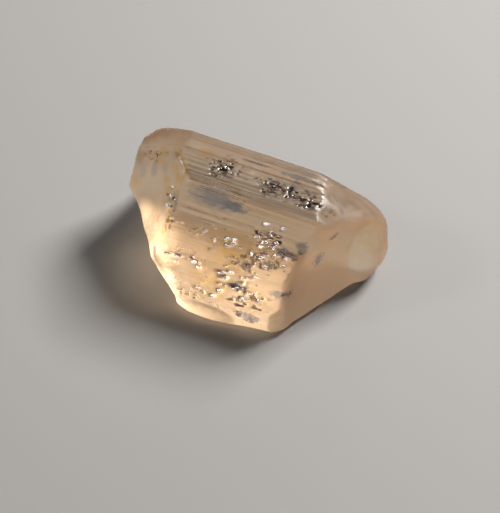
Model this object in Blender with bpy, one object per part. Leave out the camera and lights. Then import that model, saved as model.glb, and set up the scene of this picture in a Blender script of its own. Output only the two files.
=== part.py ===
"""A rough topaz crystal about 20 mm long: one piece, worn, and broken at both ends.

Its prism runs along X and it lies on a prism face in the plane Z = 0. The left end (-X) is a cap of two
slanting breaks over an undercut. The right end (+X) is one steep frosted break with a lobe behind it.
The origin is the middle of the box round it, at its underside.

Every face is a plane: its outward normal and its distance from a lengthwise axis in the underside. All
the angles round the prism follow from one number, the axial ratio a : b of topaz.
"""

import math
import random

import bmesh
import bpy
from mathutils import Matrix, Vector, noise

MM = 0.001
NAME = "topaz_crystal"
SEED = 11  # of the wear
CHIP_SEED = 5
PIT_SEED = 11

# Driving dimensions, in millimetres and degrees
HEIGHT = 10.2  # between the prism face that it lies on and the one on top
BLANK_LENGTH = 34.0  # the prism before its ends are broken off
AXIAL_RATIO = 0.528  # a : b of topaz
PRISM_TURN = 90.0 + math.degrees(math.atan(AXIAL_RATIO))  # brings a face (1 -1 0) on top, level

# Prism faces anticlockwise round the section, seen from +X: Miller indices h and k, distance from the
# axis, growth ridges, and how they crowd: evenly at 1, at the face's end above 1, at its start below 1
PRISM_FACES = [
    (-1, 1, 0.0, 0, 1.0),
    (-1, -1, 4.63, 4, 1.0),
    (-1, -2, 6.18, 3, 1.0),
    (0, -1, 8.6, 9, 1.0),
    (1, -2, 10.78, 2, 1.0),
    (1, -1, HEIGHT, 11, 2.2),
    (1, 1, 6.0, 7, 0.25),
    (1, 2, 4.88, 2, 1.0),
    (0, 1, 4.6, 0, 1.0),
]
RIDGE_DEPTH = (0.04, 0.1)
RIDGE_STEEPNESS = 0.3  # most that a ridge's depth is, as a share of its pitch
RIDGE_SLANT = 0.3  # how far along its pitch a ridge's steep side reaches

# Breaks: azimuth from +X towards +Y and elevation of the outward normal, distance from the axis, and how
# deep the break's waves are
BREAKS = {
    "cap front": (228.4, 31.9, 8.85, 0.16),
    "cap top": (189.0, 56.7, 12.45, 0.18),
    "cap back": (100.0, 23.3, 9.58, 0.12),
    "left end": (180.0, -1.0, 11.4, 0.14),
    "left end, behind": (140.0, 10.0, 13.5, 0.2),
    "left undercut": (214.4, -28.9, 5.6, 0.12),
    "right shoulder": (29.7, 50.7, 11.15, 0.2),
    "right shoulder, behind": (55.0, 38.7, 10.8, 0.15),
    "right break": (-28.0, 1.2, 5.25, 0.06),
    "right end, behind": (38.0, -8.0, 8.6, 0.2),
    "front foot": (-80.8, -35.0, 3.85, 0.1),
    "back foot": (95.0, -40.0, 4.6, 0.14),
}
WAVE_LENGTH = 2.6
WAVE_GRID = 0.8  # spacing of the points of a break's surface
BREAK_REACH = 9.0  # half the width of a break's surface
SLAB = 2.0  # how far a break's cutter reaches outwards
MIDDLE = Vector((-1.3, 1.2, HEIGHT / 2))  # about the middle of the crystal

WEAR = (0.25, 0.75)  # width that is worn off an edge
CORNER_WEAR = (0.08, 0.22)  # depth that is worn off a corner
SHARPEST_UNWORN = 24.0  # an edge that turns by less isn't worn
CHIPS = 26
CHIP_RADIUS = (0.9, 3.2)
CHIP_DEPTH = (0.04, 0.12)

# The lobe behind the right break: a block with breaks of its own, inside the prism faces
LOBE_BREAKS = {
    "ledge": (-60.0, 5.0, 1.95),
    "right": (-5.0, 8.0, 8.7),
    "upper right": (5.0, 35.0, 10.35),
    "crest": (29.7, 50.7, 10.85),
    "right, behind": (40.0, 0.0, 10.2),
    "upper right, behind": (65.0, 30.0, 10.4),
    "right, low": (-12.0, -22.0, 6.45),
    "lower right": (-32.0, -42.0, 3.6),
    "inner side": (180.0, 0.0, -4.0),
    "underside": (0.0, -90.0, -0.15),
}
LOBE_INSET = 0.06
LOBE_WEAR = (0.5, 1.1)

# Low rounded bumps at the underside of the front: centre and radii
BUMPS = {
    "foot": ((2.65, -3.35, 0.9), (1.5, 1.15, 1.4)),
    "belly": ((-2.4, -4.5, 0.55), (2.7, 0.72, 0.8)),
}
BUMP_LIFT = 0.1  # their underside, above what the crystal lies on

# Shell-shaped scoops: a point at the middle of each, the azimuth and elevation that it faces, the radius
# of the ball that fits in it, and its depth below that point
SCOOPS = {
    "right break": ((5.6, -0.2, 4.6), (-28.0, 1.2), 17.0, 0.34),
    "cap front": ((-9.0, -0.4, 6.6), (228.4, 31.9), 10.0, 0.22),
    "undercut": ((-7.6, -0.8, 1.4), (214.4, -28.9), 7.0, 0.45),
    "undercut, cap": ((-10.25, -0.95, 4.75), (216.8, -15.0), 7.0, 0.62),
    "undercut, edge": ((-8.5, -2.6, 4.3), (219.0, -5.0), 6.0, 0.25),
    "undercut, left": ((-9.9, 2.2, 2.6), (200.0, -20.0), 4.0, 0.3),
    "back": ((-2.4, 7.4, 3.6), (80.0, 4.0), 9.0, 0.35),
    "back, right": ((3.2, 6.6, 5.8), (76.0, 34.0), 5.0, 0.28),
    "back, low": ((4.6, 6.3, 1.4), (80.0, -30.0), 4.0, 0.3),
    "end, behind": ((-9.8, 5.8, 4.7), (132.0, 14.0), 8.0, 0.3),
}
BALL_SEGMENTS = 64

# Crevices between the cap and the prism, and along the crease of the cap
CREVICES = {
    "cap front": [
        (-7.1, 1.5, 10.25),
        (-6.5, 0.6, 10.15),
        (-6.3, 0.0, 9.75),
        (-6.5, -0.7, 8.85),
        (-6.65, -1.5, 7.75),
        (-6.6, -2.3, 6.9),
        (-6.7, -3.1, 5.9),
    ],
    "cap crease": [
        (-11.2, 2.4, 7.5),
        (-10.3, 2.05, 8.1),
        (-9.2, 1.8, 8.8),
        (-8.1, 1.7, 9.55),
        (-7.5, 1.9, 10.1),
    ],
}
CREVICE_RADIUS = 0.13

# Patches of etch pits: the prism face or break that they are in, a point near their middle, the half
# lengths of the patch along X and across, and how many pits
PIT_PATCHES = [
    ((1, -1), (-3.6, 1.7, 10.2), 0.9, 0.7, 22),
    ((1, -1), (1.1, 1.6, 10.2), 1.1, 0.5, 20),
    ((1, -1), (4.3, 1.0, 10.2), 0.8, 0.5, 16),
    ((1, 1), (-1.6, -1.0, 9.0), 0.9, 0.3, 8),
    ((1, 1), (1.0, -2.4, 7.1), 1.1, 0.7, 18),
    ((1, 1), (3.3, -2.0, 7.6), 0.7, 0.6, 12),
    ((1, 1), (-2.4, -2.2, 7.3), 1.3, 0.6, 12),
    ((1, 2), (0.2, -3.8, 4.4), 1.2, 0.6, 12),
    ((1, 2), (1.4, -4.5, 1.9), 0.6, 0.4, 12),
    ("right break", (5.3, -0.4, 5.9), 0.5, 0.5, 6),
    ("right break", (6.0, 0.4, 8.1), 0.3, 0.3, 3),
    ((0, -1), (-3.0, 6.0, 7.0), 1.5, 1.2, 14),
]
PIT_LENGTH = (0.14, 0.4)  # half of it
PIT_SLENDERNESS = (0.4, 0.8)
PIT_DEPTH = (0.6, 0.9)  # of the half width
PIT_RIM = 0.15  # how much of the cutter stands out of the face


def spherical(azimuth, elevation):
    """A direction, from its azimuth and elevation in degrees."""
    turn, rise = math.radians(azimuth), math.radians(elevation)
    return Vector((math.cos(turn) * math.cos(rise), math.sin(turn) * math.cos(rise), math.sin(rise)))


def prism_normal(h, k):
    """The normal of the prism face (h k 0)."""
    turn = math.radians(PRISM_TURN) + math.atan2(k * AXIAL_RATIO, h)
    return Vector((0, math.cos(turn), math.sin(turn)))


def prism_planes(inset=0.0):
    return [(prism_normal(h, k), distance - inset) for h, k, distance, _, _ in PRISM_FACES]


def break_planes():
    return [(spherical(azimuth, rise), distance) for azimuth, rise, distance, _ in BREAKS.values()]


def plane_called(face):
    """The plane of a prism face, given as (h, k), or of a break, given by its name."""
    if face in BREAKS:
        azimuth, rise, distance, _ = BREAKS[face]
        return spherical(azimuth, rise), distance
    distances = {(h, k): distance for h, k, distance, _, _ in PRISM_FACES}
    return prism_normal(*face), distances[face]


def mesh_object(name, bm, collection):
    """An object of the mesh that bm holds, once it is scaled from millimetres."""
    bmesh.ops.scale(bm, vec=(MM, MM, MM), verts=bm.verts)
    mesh = bpy.data.meshes.new(name)
    bm.to_mesh(mesh)
    bm.free()
    made = bpy.data.objects.new(name, mesh)
    collection.objects.link(made)
    return made


def mesh_of(curve, matrix=Matrix()):
    """A closed mesh of a curve's solid."""
    drawn = bpy.data.objects.new("drawn", curve)
    bpy.context.scene.collection.objects.link(drawn)
    bpy.context.view_layer.update()
    graph = bpy.context.evaluated_depsgraph_get()
    mesh = bpy.data.meshes.new_from_object(drawn.evaluated_get(graph))
    mesh.transform(matrix)
    bpy.data.objects.remove(drawn)
    bm = bmesh.new()
    bm.from_mesh(mesh)
    bpy.data.meshes.remove(mesh)
    bmesh.ops.remove_doubles(bm, verts=bm.verts, dist=1e-4)
    bmesh.ops.recalc_face_normals(bm, faces=bm.faces)
    return bm


def cut(bm, normal, distance):
    """Takes off all that lies beyond a plane, and closes the cut."""
    found = bmesh.ops.bisect_plane(
        bm,
        geom=bm.verts[:] + bm.edges[:] + bm.faces[:],
        dist=1e-4,
        plane_co=normal * distance,
        plane_no=normal,
        clear_outer=True,
    )
    edges = [item for item in found["geom_cut"] if isinstance(item, bmesh.types.BMEdge)]
    if edges:
        bmesh.ops.edgeloop_fill(bm, edges=edges)


def block(planes):
    """The form that planes enclose."""
    bm = bmesh.new()
    bmesh.ops.create_cube(bm, size=2 * BLANK_LENGTH)
    for normal, distance in planes:
        cut(bm, normal, distance)
    bmesh.ops.recalc_face_normals(bm, faces=bm.faces)
    return bm


def worn_edges(bm):
    """The edges of a block that wear: each with its outward direction and how far it turns."""
    found = []
    for edge in bm.edges:
        turn = edge.calc_face_angle()
        normals = [face.normal for face in edge.link_faces]
        lengthwise = all(abs(normal.x) < 1e-3 for normal in normals)
        if not lengthwise and math.degrees(turn) > SHARPEST_UNWORN:
            found.append((edge, (normals[0] + normals[1]).normalized(), turn))
    return found


def wear_planes(bm, widths, rng):
    """Planes that take the edges off a block."""
    planes = []
    for edge, outward, turn in worn_edges(bm):
        depth = 0.5 * rng.uniform(*widths) * math.tan(turn / 2)
        planes.append((outward, outward.dot(edge.verts[0].co) - depth))
    return planes


def corner_planes(bm, rng):
    """Planes that take the corners off a block."""
    planes = []
    for corner in bm.verts:
        outward = sum((face.normal for face in corner.link_faces), Vector()).normalized()
        planes.append((outward, outward.dot(corner.co) - rng.uniform(*CORNER_WEAR)))
    return planes


def meeting(first, second):
    """Where two prism faces meet in the section."""
    (n, d), (m, e) = first, second
    across = n.y * m.z - n.z * m.y
    return Vector((0, (d * m.z - e * n.z) / across, (n.y * e - m.y * d) / across))


def ridged(start, end, normal, count, crowding, rng):
    """Points from start to before end, with the growth ridges as shallow slanting steps."""
    points = [start]
    for ridge in range(1, count + 1):
        place = (ridge + rng.uniform(-0.3, 0.3)) / (count + 1)
        pitch = crowding * (1 - place) ** (crowding - 1) / (count + 1)
        at = 1 - (1 - place) ** crowding
        depth = min(rng.uniform(*RIDGE_DEPTH), RIDGE_STEEPNESS * pitch * (end - start).length)
        points.append(start.lerp(end, at))
        points.append(start.lerp(end, at + RIDGE_SLANT * pitch) - normal * depth)
    return points


def section(rng):
    """The outline of the prism's section, with its growth ridges."""
    planes = prism_planes()
    corners = [meeting(plane, planes[i - len(planes) + 1]) for i, plane in enumerate(planes)]
    outline = []
    for i, (_, _, _, ridges, crowding) in enumerate(PRISM_FACES):
        outline += ridged(corners[i - 1], corners[i], planes[i][0], ridges, crowding, rng)
    return outline


def prism(rng):
    """The ridged prism: its section as a filled outline, extruded along X."""
    curve = bpy.data.curves.new("prism", "CURVE")
    curve.dimensions = "2D"
    curve.fill_mode = "BOTH"
    curve.extrude = BLANK_LENGTH / 2
    outline = section(rng)
    spline = curve.splines.new("POLY")
    spline.points.add(len(outline) - 1)
    for point, place in zip(spline.points, outline):
        point.co = (place.y, place.z, 0, 1)
    spline.use_cyclic_u = True
    along_x = Matrix(((0, 0, 1), (1, 0, 0), (0, 1, 0))).to_4x4()
    bm = mesh_of(curve, along_x)
    bmesh.ops.dissolve_limit(bm, angle_limit=math.radians(0.5), verts=bm.verts, edges=bm.edges)
    return bm


def crystal(plain, rng, collection):
    """The prism with its ends broken off by planes, and its edges and corners worn."""
    bm = prism(rng)
    for normal, distance in break_planes() + wear_planes(plain, WEAR, rng) + corner_planes(plain, rng):
        cut(bm, normal, distance)
    bmesh.ops.recalc_face_normals(bm, faces=bm.faces)
    return mesh_object(NAME, bm, collection)


def facing(normal):
    """A turn that brings +Z to a normal, and keeps +X as near the prism's length as it can be."""
    along = Vector((1, 0, 0)) - normal * normal.x
    along = along.normalized() if along.length > 0.3 else normal.orthogonal().normalized()
    return Matrix((along, normal.cross(along), normal)).transposed()


def wave(place, seed):
    """A smooth wandering value from 0 to 1."""
    at = Vector(place) / WAVE_LENGTH + Vector((seed * 7.3, 0, 0))
    return 0.5 + 0.5 * noise.noise(at) + 0.2 * noise.noise(at * 2.3)


def break_cutter(name, seed, collection):
    """A slab whose inner side is the wavy surface of a break."""
    normal, distance = plane_called(name)
    depth = BREAKS[name][3]
    bm = bmesh.new()
    cells = round(2 * BREAK_REACH / WAVE_GRID)
    bmesh.ops.create_grid(bm, x_segments=cells, y_segments=cells, size=BREAK_REACH)
    for corner in bm.verts:
        corner.co.z = -depth * wave(corner.co, seed)
    sides = bmesh.ops.extrude_face_region(bm, geom=bm.faces[:])
    raised = [item for item in sides["geom"] if isinstance(item, bmesh.types.BMVert)]
    for corner in raised:
        corner.co.z = SLAB
    bmesh.ops.rotate(bm, matrix=facing(normal), verts=bm.verts)
    middle = stone_middle(normal, distance)
    bmesh.ops.translate(bm, vec=middle, verts=bm.verts)
    bmesh.ops.recalc_face_normals(bm, faces=bm.faces)
    return mesh_object("break, " + name, bm, collection)


def stone_middle(normal, distance):
    """The point of a plane that is straight outwards from the middle of the crystal."""
    return MIDDLE + normal * (distance - normal.dot(MIDDLE))


def lobe(rng, collection):
    """The rounded chunk behind the right break."""
    planes = [(spherical(azimuth, rise), distance) for azimuth, rise, distance in LOBE_BREAKS.values()]
    planes += prism_planes(LOBE_INSET)
    bm = block(planes)
    for normal, distance in wear_planes(bm, LOBE_WEAR, rng) + corner_planes(bm, rng):
        cut(bm, normal, distance)
    bmesh.ops.recalc_face_normals(bm, faces=bm.faces)
    return mesh_object("lobe", bm, collection)


def bump(name, middle, radii, collection):
    """A low bump of the underside's edge."""
    bm = bmesh.new()
    bmesh.ops.create_icosphere(bm, subdivisions=3, radius=1)
    bmesh.ops.scale(bm, vec=radii, verts=bm.verts)
    bmesh.ops.translate(bm, vec=middle, verts=bm.verts)
    cut(bm, Vector((0, 0, -1)), -BUMP_LIFT)
    return mesh_object(name, bm, collection)


def scoop(name, middle, direction, radius, depth, collection):
    """A big ball, sunk to a depth below the middle of its scoop."""
    outward = spherical(*direction)
    bm = bmesh.new()
    bmesh.ops.create_uvsphere(bm, u_segments=BALL_SEGMENTS, v_segments=BALL_SEGMENTS // 2, radius=radius)
    bmesh.ops.rotate(bm, matrix=outward.to_track_quat("X", "Z").to_matrix(), verts=bm.verts)
    bmesh.ops.translate(bm, vec=Vector(middle) + outward * (radius - depth), verts=bm.verts)
    return mesh_object("scoop, " + name, bm, collection)


def chips(plain, rng, collection):
    """Small chips out of the worn edges, more on the longer ones."""
    edges = worn_edges(plain)
    lengths = [edge.calc_length() for edge, _, _ in edges]
    for index in range(CHIPS):
        edge, outward, _ = rng.choices(edges, lengths)[0]
        radius = rng.uniform(*CHIP_RADIUS)
        depth = rng.uniform(*CHIP_DEPTH) + 0.5 * WEAR[0]
        start, end = (corner.co for corner in edge.verts)
        middle = start.lerp(end, rng.uniform(0.1, 0.9)) + outward * (radius - depth)
        bm = bmesh.new()
        bmesh.ops.create_icosphere(bm, subdivisions=3, radius=radius)
        bmesh.ops.scale(bm, vec=(1, rng.uniform(0.7, 1.2), rng.uniform(0.7, 1.2)), verts=bm.verts)
        bmesh.ops.translate(bm, vec=middle, verts=bm.verts)
        mesh_object(f"chip {index + 1}", bm, collection)


def crevice(name, route, collection):
    """A narrow groove, as a bevelled curve made a mesh."""
    curve = bpy.data.curves.new(name, "CURVE")
    curve.dimensions = "3D"
    curve.bevel_depth = CREVICE_RADIUS
    curve.bevel_resolution = 1
    curve.use_fill_caps = True
    spline = curve.splines.new("POLY")
    spline.points.add(len(route) - 1)
    for point, place in zip(spline.points, route):
        point.co = (*place, 1)
    return mesh_object("crevice, " + name, mesh_of(curve), collection)


def pit(name, place, normal, rng, collection):
    """A cutter for an etch pit: a four-sided point, lengthened along the prism."""
    length = rng.uniform(*PIT_LENGTH)
    width = length * rng.uniform(*PIT_SLENDERNESS)
    depth = width * rng.uniform(*PIT_DEPTH)
    bm = bmesh.new()
    bmesh.ops.create_cone(bm, segments=4, radius1=0, radius2=1, depth=2, cap_ends=True)
    bmesh.ops.translate(bm, vec=(0, 0, PIT_RIM - 1), verts=bm.verts)
    bmesh.ops.scale(bm, vec=(length, width, depth / 2), verts=bm.verts)
    bmesh.ops.rotate(bm, matrix=facing(normal), verts=bm.verts)
    bmesh.ops.translate(bm, vec=place, verts=bm.verts)
    bmesh.ops.recalc_face_normals(bm, faces=bm.faces)
    return mesh_object(name, bm, collection)


def pits(rng, collection):
    index = 0
    for face, middle, along, across, count in PIT_PATCHES:
        normal, distance = plane_called(face)
        turn = facing(normal)
        for _ in range(count):
            index += 1
            place = Vector(middle) + turn @ Vector((rng.gauss(0, along), rng.gauss(0, across), 0))
            place += normal * (distance - normal.dot(place))
            pit(f"pit {index}", place, normal, rng, collection)


def boolean(target, operation, collection):
    """Joins or takes away every object of a collection."""
    step = target.modifiers.new(collection.name, "BOOLEAN")
    step.operation = operation
    step.operand_type = "COLLECTION"
    step.collection = collection
    step.solver = "MANIFOLD"


def topaz():
    """A pale champagne topaz, frosted by wear."""
    material = bpy.data.materials.new("topaz")
    material.use_nodes = True
    shader = material.node_tree.nodes["Principled BSDF"]
    shader.inputs["Base Color"].default_value = (0.78, 0.62, 0.46, 1)
    shader.inputs["Roughness"].default_value = 0.35
    shader.inputs["Metallic"].default_value = 0
    shader.inputs["IOR"].default_value = 1.62
    shader.inputs["Transmission Weight"].default_value = 0.85
    return material


def centre(target, others):
    """Moves everything so that the middle of the target's box, at its underside, is the origin."""
    bpy.context.view_layer.update()
    graph = bpy.context.evaluated_depsgraph_get()
    corners = [Vector(corner) for corner in target.evaluated_get(graph).bound_box]
    low = [min(corner[axis] for corner in corners) for axis in range(3)]
    high = [max(corner[axis] for corner in corners) for axis in range(3)]
    offset = Vector(((low[0] + high[0]) / 2, (low[1] + high[1]) / 2, low[2]))
    for thing in [target, *others]:
        thing.location -= offset


def new_collection(name):
    made = bpy.data.collections.new(name)
    bpy.context.scene.collection.children.link(made)
    return made


def main():
    for old in list(bpy.data.objects):
        bpy.data.objects.remove(old)
    parts = new_collection(NAME + " parts")
    breaks, scoops, lumps, etching = map(new_collection, ("breaks", "scoops", "lumps", "etching"))
    rng = random.Random(SEED)
    plain = block(prism_planes() + break_planes())
    stone = crystal(plain, rng, parts)
    for seed, name in enumerate(BREAKS):
        break_cutter(name, seed, breaks)
    for name, scoop_size in SCOOPS.items():
        scoop(name, *scoop_size, scoops)
    lobe(rng, lumps)
    for name, (middle, radii) in BUMPS.items():
        bump(name, middle, radii, lumps)
    chips(plain, random.Random(CHIP_SEED), scoops)
    for name, route in CREVICES.items():
        crevice(name, route, etching)
    pits(random.Random(PIT_SEED), etching)
    plain.free()
    boolean(stone, "DIFFERENCE", breaks)
    boolean(stone, "DIFFERENCE", scoops)
    boolean(stone, "UNION", lumps)
    boolean(stone, "DIFFERENCE", etching)
    helpers = [*breaks.objects, *scoops.objects, *lumps.objects, *etching.objects]
    for helper in helpers:
        helper.hide_render = True
        helper.display_type = "WIRE"
    stone.data.materials.append(topaz())
    centre(stone, helpers)


main()
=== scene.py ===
"""Looks of a rough topaz crystal about 20 mm long: pale champagne, frosted by wear and see-through.

Places and sizes are in millimetres in the part's own frame: +X along the prism, +Z up, and the origin
under the middle of the crystal. They are scaled to metres where Blender takes them.
"""

import math
import random

import bmesh
import bpy
import numpy as np
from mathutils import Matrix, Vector, noise
from mathutils.bvhtree import BVHTree
from mathutils.geometry import intersect_point_line

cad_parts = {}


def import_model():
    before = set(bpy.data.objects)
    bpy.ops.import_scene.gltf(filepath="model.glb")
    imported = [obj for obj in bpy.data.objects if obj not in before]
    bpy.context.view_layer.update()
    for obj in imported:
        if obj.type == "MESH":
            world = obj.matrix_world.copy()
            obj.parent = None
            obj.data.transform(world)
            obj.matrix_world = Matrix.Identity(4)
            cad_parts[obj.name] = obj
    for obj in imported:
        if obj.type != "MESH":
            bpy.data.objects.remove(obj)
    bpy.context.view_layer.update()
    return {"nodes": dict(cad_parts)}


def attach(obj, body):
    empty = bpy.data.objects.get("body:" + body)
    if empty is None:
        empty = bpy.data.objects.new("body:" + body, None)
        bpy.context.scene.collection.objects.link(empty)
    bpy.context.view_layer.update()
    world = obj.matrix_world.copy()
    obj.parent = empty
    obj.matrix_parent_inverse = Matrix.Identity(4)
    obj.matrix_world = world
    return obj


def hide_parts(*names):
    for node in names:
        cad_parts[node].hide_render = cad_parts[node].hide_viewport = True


MM = 0.001
NODE = "topaz_crystal"

# Camera: the photograph's angle, through a long lens
CAMERA_AZIMUTH = 23.0
CAMERA_ELEVATION = 52.0
CAMERA_DISTANCE = 223.0
CAMERA_TARGET = (0.116, -0.044, 1.16)
LENS = 200.0
SENSOR = 36.0
CLIP = (0.01, 10)  # metres

# Lights: azimuth, elevation, distance, width, watts and colour
LIGHTS = {
    "key": (150.0, 46.0, 260.0, 90.0, 2.3, (1.0, 0.93, 0.84)),
    "back": (196.0, 28.0, 300.0, 60.0, 0.05, (1.0, 0.94, 0.88)),
    "rim": (206.0, 57.0, 300.0, 60.0, 0.02, (1.0, 0.95, 0.88)),
    "fill": (-60.0, 40.0, 300.0, 45.0, 0.2, (1.0, 0.97, 0.93)),
}
LIT_HEIGHT = 4  # where on the crystal the lights look
SKY = ((0.62, 0.70, 0.80), 0.07)  # colour and strength
FLOOR_HALF = 600
FLOOR_DROP = 0.02  # how far the floor lies under the crystal
FLOOR_COLOUR = (0.17, 0.174, 0.182, 1)
FLOOR_ROUGHNESS = 0.9

# The surface's grid
VOXEL = 0.16
LINED_FROM = 0.35  # a prism face that faces up more than back by this gets finer faces
PRISM_LEAN = 0.3  # most that a prism face leans along X
ACROSS_LEAN = 0.4  # and most that an edge across it does
LINE_CUTS = 2  # cuts in each edge across the lines
PIT_GRID = 0.06  # longer edges by the pits are halved
PIT_GRID_MARGIN = 1.3  # how far from a patch of pits, over its half length
NORMAL_PASSES = 2  # passes that even out the directions in which relief is cut
PRISM_PASSES = 2  # and the border between the prism and the breaks

# The forms
BREAK_LEAN = (0.35, 0.2)  # a face that leans more along X is a break, and how softly that changes
ROUNDING = 1  # passes that soften the prism's edges
BREAK_ROUNDING = 14  # and the breaks' edges
ROUNDED_MARGIN = 6  # passes that spread the breaks' rounding onto the prism
CRISPNESS = 1.6  # how fast the prism turns crisp away from the breaks
BACK_FROM = 2.5  # the ridges of the faces behind this are softer
BACK_SOFTNESS = (0.85, 1.2)  # by this share, more or less
BACK_PATCHES = (4, 0.9, 0.9)  # and the spacing of more and less
STRIA_PITCHES = ((0.55, 0.036), (0.24, 0.024))  # spacing and depth of the lengthwise growth lines
STRIA_LENGTH = 14.0
SWELL = ((4.4, 2.2, 2.2), 0.03)  # spacing and depth of the slow growth relief
RIPPLE = (0.8, 0.02)  # spacing and depth of the ripples on a break
RIPPLE_CENTRE = (9.0, 2.5, 11.0)
RIPPLE_WANDER = 2.5  # spacing of their bends

# Sharp growth lines: where each band of them runs, from the upper left end to the right end, how far its
# lines lie below that on the face, how wide and how deep half a line is, and how dark its painted shade is
BAND_LINES = (
    (((-3.4, -1.3, 10.19), (6.4, -1.3, 10.19)), (0.0, 0.14, 0.29, 0.42, 0.58), 0.06, 0.055, 1.0),
    (((-3.2, -1.05, 10.19), (6.3, -1.1, 10.19)), (0.0,), 0.05, 0.04, 0.8),
    (((-4.2, -4.75, 5.2), (-1.0, -4.8, 5.1)), (0.0, 0.18, 0.33), 0.05, 0.03, 0.4),
    (((-1.6, 1.9, 10.19), (1.8, 2.0, 10.19)), (0.0, 0.2), 0.06, 0.03, 0.4),
    (((2.2, 1.8, 10.19), (6.0, 1.8, 10.19)), (0.0, 0.3), 0.06, 0.03, 0.4),
    (((-9.79, 1.07, 7.55), (-6.6, 0.5, 9.7)), (0.0,), 0.1, 0.07, 0.5),
    (((8.28, 1.19, 7.12), (9.32, 2.38, 6.02)), (0.0,), 0.09, 0.05, 0.0),
    (((8.28, 1.22, 6.54), (9.01, 1.57, 5.39)), (0.0,), 0.09, 0.05, 0.0),
    (((8.81, 1.6, 6.12), (9.68, 2.24, 4.44)), (0.0,), 0.09, 0.05, 0.0),
)
BAND_DOWN = (0.0, -0.565, -0.825)  # down the upper front prism face
BAND_REACH = 0.75  # how far from the first band the faces are divided once more
LINE_FADE = 0.8  # how far from its end a line starts to fade
LINE_SHARE = (0.9, 2.2)  # how much of a line shows, more or less
LINE_GAP_PITCH = (2.4, 9, 9)  # spacing of its gaps

# Patches of fine etch pits: middle, half lengths along the prism and across, how many, and the share
# that gets painted shade
PIT_PATCHES = (
    ((-2.3, 0.6, 10.2), 1.1, 0.7, 60, 0.5),
    ((2.2, 0.4, 10.2), 1.1, 0.6, 60, 0.5),
    ((5.0, -0.1, 10.2), 0.8, 0.5, 45, 0.6),
    ((3.3, 0.4, 10.2), 0.35, 0.5, 30, 0.0),
    ((2.6, -3.0, 7.8), 1.1, 0.8, 14, 0.05),
    ((3.2, -3.8, 6.6), 1.4, 0.7, 36, 0.1),
    ((-2.3, -3.5, 7.0), 1.4, 0.6, 26, 0.1),
    ((1.3, -4.6, 5.6), 1.1, 0.8, 36, 0.1),
    ((2.2, -5.4, 3.2), 1.3, 1.0, 50, 0.3),
    ((2.3, -5.75, 1.5), 1.0, 0.5, 30, 0.4),
    ((-5.2, -3.6, 6.8), 0.5, 0.7, 14, 0.2),
    ((9.0, 1.8, 5.6), 0.9, 0.9, 8, 0.0),
    ((-5.8, -2.1, 8.2), 0.3, 0.7, 6, 0.2),
    ((-8.4, 1.0, 8.7), 0.9, 0.2, 12, 0.6),
    ((-4.0, -5.7, 1.7), 1.6, 0.35, 26, 0.4),
)
PIT_LENGTH = (0.06, 0.2)  # half of it
PIT_SLENDERNESS = (0.4, 0.85)
PIT_SLOPE = (0.3, 0.8)  # depth over half length
PIT_SPREAD = 1.6  # a patch's half length over its pits' standard deviation
PIT_PATCH_REACH = 2.6  # how far from a patch's middle pits are cut, over its half length
PIT_DIAMONDS = 0.4  # share of the pits that are diamonds and not boxes
PIT_SHADE_EDGE = 3  # how sharply the painted shade in a pit ends at its rim
PIT_SEED = 5

# Notches in the front and the cap, whose flat floors glint in the fill light: middle, reach along the
# prism and across, and how many
GLINT = (-24.0, 54.0)  # azimuth and elevation that a glinting facet faces
GLINT_SPREAD = 0.03  # how far a facet's direction strays from that
GLINT_CLOSENESS = 0.93  # cosine of the most that a flat face turns from the glint
LEDGE_PATCHES = (
    ((2.7, -2.9, 7.9), 0.6, 0.5, 26),
    ((2.4, -3.8, 6.7), 1.0, 0.5, 14),
    ((1.6, -5.0, 4.2), 1.2, 1.0, 16),
    ((0.2, -4.0, 6.4), 1.1, 0.6, 14),
    ((-3.4, -4.95, 4.6), 0.9, 0.3, 8),
    ((0.6, -5.4, 2.6), 1.6, 0.6, 12),
    ((-5.8, -2.1, 8.2), 0.25, 0.6, 8),
    ((-8.4, 1.0, 8.7), 0.8, 0.1, 6),
    ((3.4, -3.7, 6.9), 1.1, 0.5, 6),
)
LEDGE_SEED = 3
FACET_DEPTH = 0.004  # a face that is all deeper than this in a pit can be flat
FLAT_ABOVE = 9.7  # above this height, all such faces are
LEDGE_LENGTH = (0.12, 0.45)  # half of it
LEDGE_RISE = (0.14, 0.42)  # width of the floor, up the face
LEDGE_DEPTH = 0.3
LEDGE_FACING = 0.3  # least cosine between a notch's floor and the face it is in
LEDGE_REACH = 0.4  # how far above or below its place a notch cuts
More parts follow.
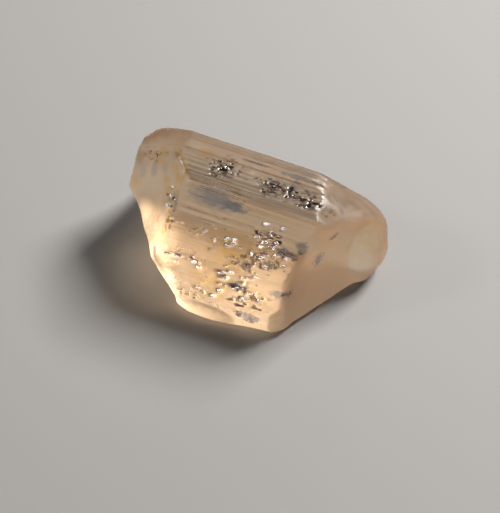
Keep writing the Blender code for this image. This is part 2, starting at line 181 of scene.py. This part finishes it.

# Marks of painted shade in the skin: dark, or bluish where shade shows through clear places. Middle, half
# lengths along the prism and across, how dark, how bluish, and how ragged
MARKS = (
    ((-2.75, 0.75, 10.13), 0.9, 0.5, 0.95, 0.0, 1.0),
    ((-2.1, 1.46, 10.19), 0.6, 0.28, 0.7, 0.2, 1.0),
    ((-2.0, -0.1, 10.17), 0.75, 0.3, 0.9, 0.0, 1.0),
    ((2.1, 0.2, 10.15), 1.45, 0.7, 1.0, 0.0, 1.0),
    ((3.2, 0.9, 10.2), 0.6, 0.55, 0.45, 0.5, 1.0),
    ((5.1, 0.0, 10.15), 1.35, 0.7, 1.0, 0.0, 1.0),
    ((-2.0, -1.95, 9.5), 2.2, 0.75, 0.1, 0.9, 0.25),
    ((-0.43, -2.04, 9.32), 0.95, 0.42, 0.5, 1.0, 0.7),
    ((-8.96, 0.15, 7.26), 0.5, 0.7, 0.0, 0.45, 0.3),
    ((-7.9, -0.05, 8.0), 0.5, 0.7, 0.0, 0.5, 0.3),
    ((-6.86, -0.29, 8.98), 0.45, 0.6, 0.0, 0.4, 0.3),
    ((-8.5, 0.6, 8.45), 0.8, 0.13, 0.6, 0.0, 1.0),
    ((-9.0, 1.6, 8.6), 0.5, 0.1, 0.4, 0.0, 1.0),
    ((-7.4, 1.7, 9.6), 0.4, 0.1, 0.4, 0.0, 1.0),
    ((-5.05, -2.6, 8.1), 0.25, 1.3, 0.3, 0.6, 0.5),
    ((-5.2, -3.7, 6.8), 0.3, 0.6, 0.7, 0.1, 1.0),
    ((-6.6, -3.4, 4.9), 0.9, 1.8, 0.45, 0.0, 0.7),
    ((1.54, -4.37, 5.93), 0.5, 0.4, 0.7, 0.6, 0.7),
    ((2.34, -4.12, 6.28), 0.45, 0.3, 0.5, 0.6, 0.7),
    ((3.46, -4.05, 6.38), 0.55, 0.42, 0.8, 0.9, 0.4),
    ((4.52, -3.27, 7.47), 1.0, 0.4, 0.7, 1.0, 0.45),
    ((5.59, -2.72, 7.97), 0.4, 0.5, 0.7, 0.8, 0.5),
    ((6.42, -1.66, 5.9), 0.55, 0.75, 0.5, 1.0, 0.5),
    ((7.2, -0.66, 7.83), 0.4, 0.5, 0.9, 0.5, 0.5),
    ((-1.2, -5.6, 2.2), 2.8, 1.1, 0.4, 0.25, 0.4),
    ((-4.5, -5.2, 2.6), 1.2, 1.4, 0.4, 0.1, 0.5),
    ((2.0, -5.7, 2.2), 2.6, 1.3, 0.3, 0.2, 0.5),
    ((5.23, -4.7, 4.33), 0.5, 0.34, 1.0, 0.2, 0.7),
    ((2.29, -5.76, 1.43), 1.2, 0.42, 0.75, 1.0, 0.5),
    ((1.2, -5.1, 3.95), 0.8, 0.5, 0.45, 0.9, 0.5),
    ((4.4, -5.0, 4.4), 0.5, 0.35, 0.5, 0.9, 0.5),
    ((-0.3, -5.6, 1.6), 0.6, 0.3, 0.5, 0.3, 0.9),
    ((-4.4, -5.5, 1.2), 1.0, 0.25, 0.7, 0.0, 1.0),
    ((-0.3, 1.95, 10.17), 1.5, 0.14, 0.25, 0.8, 0.5),
    ((3.8, 1.9, 10.17), 1.9, 0.2, 0.2, 0.8, 0.5),
)
RAGGEDNESS = 0.9  # how far a ragged mark's outline wanders, over its half lengths
RAG_PITCH = (0.48, 0.32, 0.32)
TEETH = 0.54  # and how far its small teeth do
TEETH_PITCH = (0.128, 0.106667, 0.106667)
CLUMP_PITCH = (0.36, 0.2, 0.2)  # spacing of the specks of a ragged mark
CLUMP_SHARE = (0.8, 3.0)  # how dark they are, more or less
CLUMP_LEAST = 0.1
MARK_RIM = 1.2  # where a smooth mark ends, over its half lengths
MARK_SOFTNESS = (0.9, 0.6)  # width of its rim, and how much narrower a ragged one's is
MARK_LIMIT = 2  # no mark reaches further, over its half lengths
MARK_THICKNESS = 0.8  # how far above or below its place a mark reaches

# The iron-stained crevice under the cap, and stains: middle, reach and strength
CREVICE = (
    (-6.29, 0.94, 10.03),
    (-4.97, -0.5, 10.1),
    (-5.1, -1.4, 9.6),
    (-5.33, -2.06, 8.56),
    (-5.36, -2.78, 7.66),
    (-5.3, -3.52, 6.83),
    (-5.39, -4.12, 6.01),
)
CREVICE_REACH = 0.42  # how far from it the stain spreads
CREVICE_WIDTH = 0.28  # half of the groove
CREVICE_DEPTH = 0.18
CREVICE_PITCH = (0.6, 0.5, 0.5)  # spacing of its uneven depth
CREVICE_SHARE = (0.8, 0.2)  # share of that depth, usual and least
CREVICE_STEPS = 8  # places on each stretch of it that the groove is worked out from
STAIN_STEPS = 6  # and those that the stain is
STAIN_PITCH = (0.5, 0.4, 0.4)
STAIN_SHARE = 0.85  # usual strength of it
STAINS = (
    ((-4.15, 1.41, 10.16), 0.8, 1.0),
    ((-5.26, -1.21, 9.56), 0.7, 0.9),
    ((-6.03, -1.63, 8.22), 0.7, 0.8),
    ((-7.7, 0.67, 9.08), 1.2, 0.4),
    ((0.2, -4.0, 6.6), 2.4, 0.45),
    ((-1.0, -5.2, 3.4), 2.2, 0.45),
    ((2.6, -5.4, 3.2), 1.4, 0.35),
    ((9.3, 1.8, 5.2), 3.0, 0.35),
    ((-6.4, -1.0, 8.5), 0.6, 0.9),
    ((-7.8, 0.9, 9.1), 0.8, 0.7),
    ((-5.6, -0.2, 9.6), 0.9, 0.5),
    ((-9.3, -0.2, 6.0), 0.9, 0.5),
)

# Clearer places in the frost: middle, reach and how clear
CLEAR = (
    ((-2.0, -1.9, 9.3), 2.9, 1.0),
    ((2.7, -2.9, 7.9), 1.8, 1.0),
    ((-3.0, -5.0, 4.2), 2.4, 1.0),
)
CUT_GLOSS = 9  # how much clearer a cut is for each millimetre of its depth
BLUISH_SHADE_GLOSS = 0.6  # how much clearer a mark of bluish painted shade is
SHADE_GLOSS = (1.6, 0.6)  # and a mark of dark painted shade, and how much of that is taken off
PIT_SHADE_DARKNESS = 0.8  # how dark the painted shade in a pit is

# Places worn rougher than the rest: middle, reach and how much
WORN = (
    ((6.8, -0.3, 9.6), 1.5, 1.0),
    ((-6.4, -3.2, 4.6), 2.4, 0.4),
    ((-1.0, 5.0, 7.5), 8.5, 0.13),
    ((8.6, 0.9, 8.2), 2.0, 0.5),
)

# A number for each noise, so that they differ, and how far apart in the noise that puts them
SEEDS = {
    "stria": 1,
    "swell": 4,
    "back": 5,
    "ripple": 9,
    "line": 20,
    "rag": 31,
    "teeth": 32,
    "clump": 33,
    "stain": 41,
    "crevice": 43,
}
SEED_STEP = 13.7

# The material. Each patchy noise has its spacing, its detail and the values between which it changes
REFRACTION = 1.62
FROST = (0.34, 0.46)  # roughness, least and most
FROST_NOISE = ((0.9, 0.5, 0.5), 3, 0.35, 0.65)
PRISM_POLISH = 0.05  # how much smoother the prism faces are
CLEAR_SHARE = 0.3  # share of the roughness that is left where the frost is clear
MOTTLE = ((0.97, 0.92, 0.86, 1), (0.95, 0.86, 0.76, 1))
MOTTLE_NOISE = ((1.6, 1.2, 1.2), 3, 0.38, 0.62)
IRON_STAIN = (0.85, 0.62, 0.13, 1)
# Painted shade, not the stone's own colours: bluish for shade seen through clear places, dark for shade in
# marks, pits and grooves
PAINTED_BLUISH_SHADE = (0.16, 0.26, 0.50, 1)
PAINTED_SHADE_TINT = (0.08, 0.06, 0.05, 1)
HAIRLINES = ((6, 0.09, 0.09), 1, 0.007)  # spacing, detail and depth of the finest growth lines
GRAIN = ((0.3, 0.22, 0.22), 2, 0.003)  # and of the grain all over
ABSORPTION = ((0.90, 0.74, 0.52, 1), 120)  # colour that is left, and density


def spherical(azimuth, elevation):
    """The direction from which a camera at these angles looks: azimuth 0 looks along +Y."""
    turn, rise = math.radians(azimuth), math.radians(elevation)
    return Vector((math.sin(turn) * math.cos(rise), -math.cos(turn) * math.cos(rise), math.sin(rise)))


def add_camera():
    data = bpy.data.cameras.new("camera")
    data.lens = LENS
    data.sensor_width = SENSOR
    data.clip_start, data.clip_end = CLIP
    camera = bpy.data.objects.new("camera", data)
    back = spherical(CAMERA_AZIMUTH, CAMERA_ELEVATION)
    camera.location = (Vector(CAMERA_TARGET) + back * CAMERA_DISTANCE) * MM
    camera.rotation_euler = back.to_track_quat("Z", "Y").to_euler()
    bpy.context.scene.collection.objects.link(camera)
    bpy.context.scene.camera = camera


def add_light(name, azimuth, elevation, distance, size, watts, colour):
    """A square softbox that looks at the crystal."""
    data = bpy.data.lights.new(name, "AREA")
    data.shape = "SQUARE"
    data.size = size * MM
    data.energy = watts
    data.color = colour
    light = bpy.data.objects.new(name, data)
    towards = spherical(azimuth, elevation)
    light.location = (Vector((0, 0, LIT_HEIGHT)) + towards * distance) * MM
    light.rotation_euler = towards.to_track_quat("Z", "Y").to_euler()
    bpy.context.scene.collection.objects.link(light)


def add_world(colour, strength):
    world = bpy.data.worlds.new("studio")
    world.use_nodes = True
    background = world.node_tree.nodes["Background"]
    background.inputs["Color"].default_value = (*colour, 1)
    background.inputs["Strength"].default_value = strength
    bpy.context.scene.world = world


def add_floor():
    mesh = bpy.data.meshes.new("floor")
    corners = ((-1, -1), (1, -1), (1, 1), (-1, 1))
    places = [(x * FLOOR_HALF * MM, y * FLOOR_HALF * MM, -FLOOR_DROP * MM) for x, y in corners]
    mesh.from_pydata(places, [], [(0, 1, 2, 3)])
    floor = bpy.data.objects.new("floor", mesh)
    bpy.context.scene.collection.objects.link(floor)
    material = bpy.data.materials.new("floor")
    material.use_nodes = True
    shader = material.node_tree.nodes["Principled BSDF"]
    shader.inputs["Base Color"].default_value = FLOOR_COLOUR
    shader.inputs["Roughness"].default_value = FLOOR_ROUGHNESS
    mesh.materials.append(material)


def remeshed(source):
    """The solid's surface as even small faces, whose corners lie a little off it."""
    carrier = bpy.data.objects.new("carrier", source.data.copy())
    bpy.context.scene.collection.objects.link(carrier)
    step = carrier.modifiers.new("Remesh", "REMESH")
    step.mode = "VOXEL"
    step.voxel_size = VOXEL * MM
    bpy.context.view_layer.update()
    graph = bpy.context.evaluated_depsgraph_get()
    mesh = bpy.data.meshes.new_from_object(carrier.evaluated_get(graph))
    bpy.data.objects.remove(carrier)
    return mesh


def edges_across(edges):
    """The edges that run across the growth lines."""
    return [e for e in edges if abs((e.verts[1].co - e.verts[0].co).normalized().x) < ACROSS_LEAN]


def within(bm, verts):
    """The edges with both ends among the given corners."""
    return [e for e in bm.edges if e.verts[0] in verts and e.verts[1] in verts]


def divide_across(bm, edges):
    """Cuts edges that run across the growth lines, so that the faces there follow the lines."""
    bmesh.ops.subdivide_edges(bm, edges=edges, cuts=LINE_CUTS, use_grid_fill=True)


def divide_striated(bm):
    lined = [f for f in bm.faces if abs(f.normal.x) < PRISM_LEAN and f.normal.z - f.normal.y > LINED_FROM]
    divide_across(bm, list({e for f in lined for e in edges_across(f.edges)}))


def divide_by_band(bm):
    start, end = (Vector(place) for place in BAND_LINES[0][0])
    by_band = set()
    for vert in bm.verts:
        place, share = intersect_point_line(vert.co / MM, start, end)
        if 0 < share < 1 and (vert.co / MM - place).length < BAND_REACH:
            by_band.add(vert)
    divide_across(bm, edges_across(within(bm, by_band)))


def divide_by_pits(bm):
    near = set()
    for middle, along, across, _, _ in PIT_PATCHES:
        reach = PIT_GRID_MARGIN * max(along, across)
        near |= {v for v in bm.verts if (v.co / MM - Vector(middle)).length < reach}
    edges = [e for e in within(bm, near) if e.calc_length() > PIT_GRID * MM]
    bmesh.ops.subdivide_edges(bm, edges=edges, cuts=1, use_grid_fill=True)


def refine(mesh):
    """Makes the faces smaller where fine relief is to come."""
    bm = bmesh.new()
    bm.from_mesh(mesh)
    bm.normal_update()
    divide_striated(bm)
    divide_by_band(bm)
    divide_by_pits(bm)
    bmesh.ops.triangulate(bm, faces=[f for f in bm.faces if len(f.verts) > 4])
    bm.to_mesh(mesh)
    bm.free()


class Surface:
    """The crystal's surface as arrays, in millimetres, while its relief is worked out."""

    def __init__(self, mesh, source):
        count = len(mesh.vertices)
        flat = np.empty(count * 3)
        mesh.vertices.foreach_get("co", flat)
        self.points = flat.reshape(-1, 3) / MM
        edges = np.empty(len(mesh.edges) * 2, dtype=int)
        mesh.edges.foreach_get("vertices", edges)
        self.edges = edges.reshape(-1, 2)
        self.degree = np.bincount(self.edges.ravel(), minlength=count)[:, None].clip(1)
        self.mesh = mesh
        self.settle(source)

    def settle(self, source):
        """Puts each corner on the nearest face of the solid, and keeps that face's normal."""
        tree = BVHTree.FromPolygons(
            [v.co / MM for v in source.data.vertices], [p.vertices[:] for p in source.data.polygons]
        )
        normals = np.zeros_like(self.points)
        for index, point in enumerate(self.points):
            place, normal, _, _ = tree.find_nearest(Vector(point))
            self.points[index] = place
            normals[index] = normal
        self.faces = normals
        self.normals = self.smooth(normals, NORMAL_PASSES)
        self.normals /= np.linalg.norm(self.normals, axis=1)[:, None].clip(1e-9)

    def smooth(self, values, passes):
        """Values averaged with their neighbours' a few times."""
        values = values if values.ndim == 2 else values[:, None]
        a, b = self.edges.T
        for _ in range(passes):
            total = np.zeros_like(values)
            for column in range(values.shape[1]):
                total[:, column] += np.bincount(a, values[b, column], len(values))
                total[:, column] += np.bincount(b, values[a, column], len(values))
            values = (values + total / self.degree) / 2
        return values

    def noise(self, pitches, seed):
        """Smooth noise from -1 to 1, with a spacing along each axis."""
        scaled = self.points / np.array(pitches) + seed * SEED_STEP
        return np.array([noise.noise(Vector(place)) for place in scaled])

    def near(self, middle, reach):
        """1 at a point, falling smoothly to 0 at its reach."""
        away = np.linalg.norm(self.points - np.array(middle), axis=1) / reach
        return np.clip(1 - away**2, 0, 1) ** 2

    def push(self, depth):
        """Moves the surface inwards by a depth."""
        self.points -= self.normals * depth[:, None]

    def write(self):
        self.mesh.vertices.foreach_set("co", (self.points * MM).ravel())
        self.mesh.update()

    def keep(self, name, values):
        """Stores one value for each corner, for the material."""
        layer = self.mesh.attributes.new(name, "FLOAT", "POINT")
        layer.data.foreach_set("value", np.ascontiguousarray(values, dtype=np.float32))


def prism_share(surface):
    """1 on the prism faces, 0 on the breaks."""
    lean, fade = BREAK_LEAN
    share = np.clip((lean - np.abs(surface.faces[:, 0])) / fade, 0, 1)
    return surface.smooth(share, PRISM_PASSES)[:, 0]


def striae(surface, prism):
    """Lengthwise growth lines, as shallow steps."""
    depth = np.zeros(len(surface.points))
    for index, (pitch, height) in enumerate(STRIA_PITCHES):
        depth += height * np.abs(surface.noise((STRIA_LENGTH, pitch, pitch), SEEDS["stria"] + index))
    return depth * prism


def ripples(surface, prism):
    """Low shell-like ripples across the breaks."""
    pitch, height = RIPPLE
    away = np.linalg.norm(surface.points - np.array(RIPPLE_CENTRE), axis=1)
    wander = surface.noise((RIPPLE_WANDER,) * 3, SEEDS["ripple"])
    return height * (0.5 + 0.5 * np.sin(2 * math.pi * (away / pitch + wander))) * (1 - prism)


def band_lines(surface):
    """The sharp growth lines: how deep they are, and how dark their painted shade is."""
    depth, painted_shade = np.zeros((2, len(surface.points)))
    usual, change = LINE_SHARE
    for (start, end), drops, half_width, groove, line_shade in BAND_LINES:
        for index, drop in enumerate(drops):
            first, last = (np.array(place) + drop * np.array(BAND_DOWN) for place in (start, end))
            along = (last - first) / np.linalg.norm(last - first)
            offset = surface.points - first
            place = offset @ along
            away = np.linalg.norm(offset - place[:, None] * along, axis=1)
            share = np.clip(1 - away / half_width, 0, 1)
            inside = np.clip(np.minimum(place, np.linalg.norm(last - first) - place) / LINE_FADE, 0, 1)
            gaps = usual + change * surface.noise(LINE_GAP_PITCH, SEEDS["line"] + index + start[0])
            share *= inside * np.clip(gaps, 0, 1)
            depth = np.maximum(depth, share * groove)
            # Painted shade along the grooves
            painted_shade = np.maximum(painted_shade, share * line_shade)
    return depth, painted_shade


def ledges(surface, rng):
    """Notches, each with a flat floor: how deep they are."""
    depth = np.zeros(len(surface.points))
    glint = np.array(spherical(*GLINT))
    for middle, along_reach, across_reach, count in LEDGE_PATCHES:
        for _ in range(count):
            place = np.array(middle) + rng.gauss(0, along_reach) * np.array((1.0, 0, 0))
            place += rng.gauss(0, across_reach) * np.array(BAND_DOWN)
            lip, normal, along, across = seat(surface.points, surface.normals, place)
            facet = glint + np.array([rng.uniform(-GLINT_SPREAD, GLINT_SPREAD) for _ in range(3)])
            length, rise = rng.uniform(*LEDGE_LENGTH), rng.uniform(*LEDGE_RISE)
            if facet @ normal < LEDGE_FACING:
                continue
            offset = surface.points - lip
            a, b = offset @ along, offset @ across
            b = b if across[2] > 0 else -b
            up = across if across[2] > 0 else -across
            share = (a * (facet @ along) + b * (facet @ up)) / (facet @ normal)
            inside = (np.abs(a) < length) & (b > 0) & (b < rise)
            inside &= np.abs(offset @ normal) < LEDGE_REACH
            depth[inside] = np.maximum(depth[inside], np.clip(share[inside], 0, LEDGE_DEPTH))
    return depth


def seat(points, normals, place):
    """The corner nearest a place, and the directions along the prism and across it there."""
    index = np.argmin(np.linalg.norm(points - np.array(place), axis=1))
    normal = normals[index]
    along = np.array((1.0, 0, 0)) - normal * normal[0]
    along /= np.linalg.norm(along)
    return points[index], normal, along, np.cross(normal, along)


def pits(surface, rng):
    """Etch pits, lengthened along the prism, in patches: how deep they are, and how dark their painted
    shade is.
    """
    depth, painted_shade = np.zeros((2, len(surface.points)))
    for middle, along_reach, across_reach, count, shaded_share in PIT_PATCHES:
        reach = PIT_PATCH_REACH * max(along_reach, across_reach)
        near = np.nonzero(np.linalg.norm(surface.points - np.array(middle), axis=1) < reach)[0]
        local, normals = surface.points[near], surface.normals[near]
        _, _, patch_along, patch_across = seat(local, normals, middle)
        for _ in range(count):
            place = np.array(middle) + patch_along * rng.gauss(0, along_reach / PIT_SPREAD)
            place += patch_across * rng.gauss(0, across_reach / PIT_SPREAD)
            middle_of_pit, normal, along, across = seat(local, normals, place)
            length = rng.uniform(*PIT_LENGTH)
            width = length * rng.uniform(*PIT_SLENDERNESS)
            slope = rng.uniform(*PIT_SLOPE)
            offset = local - middle_of_pit
            a, b = np.abs(offset @ along) / length, np.abs(offset @ across) / width
            share = 1 - (a + b if rng.random() < PIT_DIAMONDS else np.maximum(a, b))
            share[np.abs(offset @ normal) > length] = 0
            share = np.clip(share, 0, 1)
            depth[near] = np.maximum(depth[near], share * length * slope)
            # Painted shade in some of the pits
            if rng.random() < shaded_share:
                painted_shade[near] = np.maximum(painted_shade[near], np.clip(PIT_SHADE_EDGE * share, 0, 1))
    return depth, painted_shade


def marks(surface):
    """Ragged marks of painted shade in the skin: how dark, and how bluish."""
    rag = RAGGEDNESS * surface.noise(RAG_PITCH, SEEDS["rag"])
    rag += TEETH * surface.noise(TEETH_PITCH, SEEDS["teeth"])
    usual, change = CLUMP_SHARE
    clumps = np.clip(usual + change * surface.noise(CLUMP_PITCH, SEEDS["clump"]), CLUMP_LEAST, 1)
    rim, narrowing = MARK_SOFTNESS
    mark_shade, bluish_shade = np.zeros((2, len(surface.points)))
    for place, length, width, shade_strength, bluish_shade_strength, ragged in MARKS:
        middle, normal, along, across = seat(surface.points, surface.normals, place)
        offset = surface.points - middle
        away = np.hypot(offset @ along / length, offset @ across / width)
        share = np.clip((MARK_RIM - away - rag * ragged) / (rim - narrowing * ragged), 0, 1)
        share[(away > MARK_LIMIT) | (np.abs(offset @ normal) > MARK_THICKNESS)] = 0
        # Painted shade: how dark each mark is painted, and how bluish
        mark_shade = np.maximum(mark_shade, share * shade_strength * (1 - ragged + ragged * clumps))
        bluish_shade = np.maximum(bluish_shade, share * bluish_shade_strength)
    return mark_shade, bluish_shade


def by_crevice(surface, reach, steps):
    """1 along the crevice's route, falling to 0 at a reach from it."""
    route = [Vector(place) for place in CREVICE]
    share = np.zeros(len(surface.points))
    for first, last in zip(route, route[1:]):
        for step in range(steps):
            share = np.maximum(share, surface.near(first.lerp(last, step / steps), reach))
    return share


def crevice(surface):
    """The open groove of the crevice: how deep it is."""
    usual, least = CREVICE_SHARE
    uneven = np.clip(usual + surface.noise(CREVICE_PITCH, SEEDS["crevice"]), least, 1)
    return CREVICE_DEPTH * by_crevice(surface, CREVICE_WIDTH, CREVICE_STEPS) * uneven


def stains(surface):
    """Yellow iron stain, along the crevice and in patches."""
    stain = np.maximum(by_crevice(surface, CREVICE_REACH, STAIN_STEPS), spots(surface, STAINS))
    return np.sqrt(stain) * np.clip(STAIN_SHARE + surface.noise(STAIN_PITCH, SEEDS["stain"]), 0, 1)


def spots(surface, places):
    """A strength at each place, falling to 0 at its reach."""
    share = np.zeros(len(surface.points))
    for middle, reach, strength in places:
        share = np.maximum(share, strength * surface.near(middle, reach))
    return share


def facet(mesh, depth):
    """Leaves faces flat that glint as planes: deep ones on top, and deep ones that face the glint."""
    corners = np.empty(len(mesh.loops), dtype=int)
    mesh.loops.foreach_get("vertex_index", corners)
    starts = np.empty(len(mesh.polygons), dtype=int)
    mesh.polygons.foreach_get("loop_start", starts)
    deep = np.minimum.reduceat(depth[corners], starts) > FACET_DEPTH
    normals, middles = np.empty((2, len(mesh.polygons) * 3))
    mesh.polygons.foreach_get("normal", normals)
    mesh.polygons.foreach_get("center", middles)
    glinting = normals.reshape(-1, 3) @ np.array(spherical(*GLINT)) > GLINT_CLOSENESS
    on_top = middles.reshape(-1, 3)[:, 2] > FLAT_ABOVE * MM
    mesh.polygons.foreach_set("use_smooth", ~(deep & (glinting | on_top)))


def shape(surface, prism):
    """Rounds the breaks and softens the back's ridges, then adds the slow relief and the growth lines."""
    rounded = surface.smooth(surface.points, BREAK_ROUNDING)
    slightly = surface.smooth(surface.points, ROUNDING)
    crisp = np.clip(CRISPNESS * surface.smooth(prism, ROUNDED_MARGIN) + 1 - CRISPNESS, 0, 1)
    usual, change = BACK_SOFTNESS
    soft = np.clip(usual + change * surface.noise(BACK_PATCHES, SEEDS["back"]), 0, 1)
    crisp *= 1 - (soft * np.clip(surface.points[:, 1] - BACK_FROM, 0, 1))[:, None]
    surface.points = slightly * crisp + rounded * (1 - crisp)
    pitches, height = SWELL
    surface.push(height * (0.5 + 0.5 * surface.noise(pitches, SEEDS["swell"])))
    surface.push(striae(surface, prism))
    surface.push(ripples(surface, prism))


def cut(surface):
    """Cuts the sharp lines, the pits, the notches and the crevice.

    Gives the lines' depth, that of the pits and notches, and the painted shade in them.
    """
    line_depth, line_painted_shade = band_lines(surface)
    surface.push(line_depth)
    pit_depth, pit_painted_shade = pits(surface, random.Random(PIT_SEED))
    surface.push(pit_depth)
    ledge_depth = ledges(surface, random.Random(LEDGE_SEED))
    surface.push(ledge_depth)
    surface.push(crevice(surface))
    surface.points[:, 2] = np.maximum(surface.points[:, 2], 0)
    return line_depth, pit_depth + ledge_depth, np.maximum(line_painted_shade, pit_painted_shade * PIT_SHADE_DARKNESS)


def keep_looks(surface, prism, cut_depth, cut_painted_shade):
    """Stores where the surface is striated, stained, clear and worn, and where shade is painted dark or
    bluish.
    """
    mark_shade, bluish_shade = marks(surface)
    gain, loss = SHADE_GLOSS
    gloss = spots(surface, CLEAR) + CUT_GLOSS * cut_depth
    gloss += BLUISH_SHADE_GLOSS * bluish_shade + np.clip(gain * mark_shade - loss, 0, 1)
    surface.keep("prism", prism)
    surface.keep("stain", stains(surface))
    # Where shade is painted dark, and where it is painted bluish
    surface.keep("painted_shade", np.maximum(mark_shade, cut_painted_shade))
    surface.keep("bluish_shade", bluish_shade)
    surface.keep("gloss", np.clip(gloss, 0, 1))
    surface.keep("worn", spots(surface, WORN))


def crystal(source):
    """The dressed crystal, in place of the plain solid."""
    mesh = remeshed(source)
    refine(mesh)
    surface = Surface(mesh, source)
    prism = prism_share(surface)
    shape(surface, prism)
    line_depth, depth, painted_shade = cut(surface)
    keep_looks(surface, prism, line_depth + depth, painted_shade)
    surface.write()
    mesh.materials.clear()
    mesh.materials.append(topaz())
    facet(mesh, depth)
    made = bpy.data.objects.new("crystal", mesh)
    bpy.context.scene.collection.objects.link(made)
    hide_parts(NODE)
    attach(made, "root")


class Nodes:
    """Short ways to add nodes to a material."""

    def __init__(self, name):
        self.material = bpy.data.materials.new(name)
        self.material.use_nodes = True
        self.tree = self.material.node_tree
        self.shader = self.tree.nodes["Principled BSDF"]
        self.output = self.tree.nodes["Material Output"]

    def link(self, source, target):
        self.tree.links.new(source, target)

    def attribute(self, name):
        node = self.tree.nodes.new("ShaderNodeAttribute")
        node.attribute_name = name
        return node.outputs["Fac"]

    def math(self, operation, first, second):
        node = self.tree.nodes.new("ShaderNodeMath")
        node.operation = operation
        for socket, value in zip(node.inputs, (first, second)):
            self.feed(socket, value)
        return node.outputs[0]

    def feed(self, socket, value):
        if isinstance(value, bpy.types.NodeSocket):
            self.link(value, socket)
        else:
            socket.default_value = value

    def ramp(self, value, low, high, out_low, out_high):
        node = self.tree.nodes.new("ShaderNodeMapRange")
        for socket, number in zip(node.inputs, (value, low, high, out_low, out_high)):
            self.feed(socket, number)
        return node.outputs[0]

    def noise(self, pitches, detail):
        """Noise with a spacing in millimetres along each axis."""
        place = self.tree.nodes.new("ShaderNodeTexCoord")
        scale = self.tree.nodes.new("ShaderNodeMapping")
        scale.inputs["Scale"].default_value = [1 / (pitch * MM) for pitch in pitches]
        self.link(place.outputs["Object"], scale.inputs["Vector"])
        node = self.tree.nodes.new("ShaderNodeTexNoise")
        node.inputs["Scale"].default_value = 1
        node.inputs["Detail"].default_value = detail
        self.link(scale.outputs["Vector"], node.inputs["Vector"])
        return node.outputs["Fac"]

    def patches(self, settings, out_low, out_high):
        """Noise that changes softly from one value to another."""
        pitches, detail, low, high = settings
        return self.ramp(self.noise(pitches, detail), low, high, out_low, out_high)

    def mix(self, share, first, second):
        node = self.tree.nodes.new("ShaderNodeMix")
        node.data_type = "RGBA"
        for socket, value in zip((node.inputs[0], node.inputs[6], node.inputs[7]), (share, first, second)):
            self.feed(socket, value)
        return node.outputs[2]

    def bump(self, height, depth, normal=None):
        """Relief of a depth in millimetres, on top of other relief."""
        node = self.tree.nodes.new("ShaderNodeBump")
        node.inputs["Strength"].default_value = 1
        node.inputs["Distance"].default_value = depth * MM
        self.feed(node.inputs["Height"], height)
        if normal:
            self.link(normal, node.inputs["Normal"])
        return node.outputs["Normal"]


def topaz():
    """Topaz: clear, champagne with depth, frosted outside, stained yellow by iron in its crevice."""
    nodes = Nodes("topaz")
    shader = nodes.shader
    shader.inputs["Transmission Weight"].default_value = 1
    shader.inputs["IOR"].default_value = REFRACTION
    names = ("prism", "stain", "painted_shade", "bluish_shade", "gloss", "worn")
    prism, stain, painted_shade, bluish_shade, gloss, worn = map(nodes.attribute, names)
    frost = nodes.patches(FROST_NOISE, *FROST)
    frost = nodes.math("SUBTRACT", frost, nodes.math("MULTIPLY", prism, PRISM_POLISH))
    frost = nodes.math("MULTIPLY", frost, nodes.ramp(gloss, 0, 1, 1, CLEAR_SHARE))
    frost = nodes.math("ADD", frost, worn)
    nodes.feed(shader.inputs["Roughness"], frost)
    tint = nodes.mix(nodes.patches(MOTTLE_NOISE, 0, 1), *MOTTLE)
    tint = nodes.mix(stain, tint, IRON_STAIN)
    # Painted shade: a bluish tint where shade shows through clear places, then a dark tint in the marks,
    # pits and grooves
    tint = nodes.mix(bluish_shade, tint, PAINTED_BLUISH_SHADE)
    tint = nodes.mix(painted_shade, tint, PAINTED_SHADE_TINT)
    nodes.feed(shader.inputs["Base Color"], tint)
    pitches, detail, depth = HAIRLINES
    relief = nodes.bump(nodes.math("MULTIPLY", nodes.noise(pitches, detail), prism), depth)
    pitches, detail, depth = GRAIN
    relief = nodes.bump(nodes.noise(pitches, detail), depth, relief)
    nodes.feed(shader.inputs["Normal"], relief)
    volume = nodes.tree.nodes.new("ShaderNodeVolumeAbsorption")
    volume.inputs["Color"].default_value, volume.inputs["Density"].default_value = ABSORPTION
    nodes.link(volume.outputs["Volume"], nodes.output.inputs["Volume"])
    return nodes.material


def set_light_paths(cycles):
    """Enough bounces for light to leave the stone, and no stray bright dots."""
    cycles.max_bounces = 32
    cycles.transmission_bounces = 32
    cycles.glossy_bounces = 16
    cycles.volume_bounces = 4
    cycles.caustics_refractive = True
    cycles.caustics_reflective = True
    cycles.blur_glossy = 1.0
    cycles.sample_clamp_indirect = 6


def main():
    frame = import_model()
    crystal(frame["nodes"][NODE])
    add_floor()
    add_camera()
    add_world(*SKY)
    for name, settings in LIGHTS.items():
        add_light(name, *settings)
    set_light_paths(bpy.context.scene.cycles)
    bpy.context.scene.view_settings.view_transform = "Standard"


main()
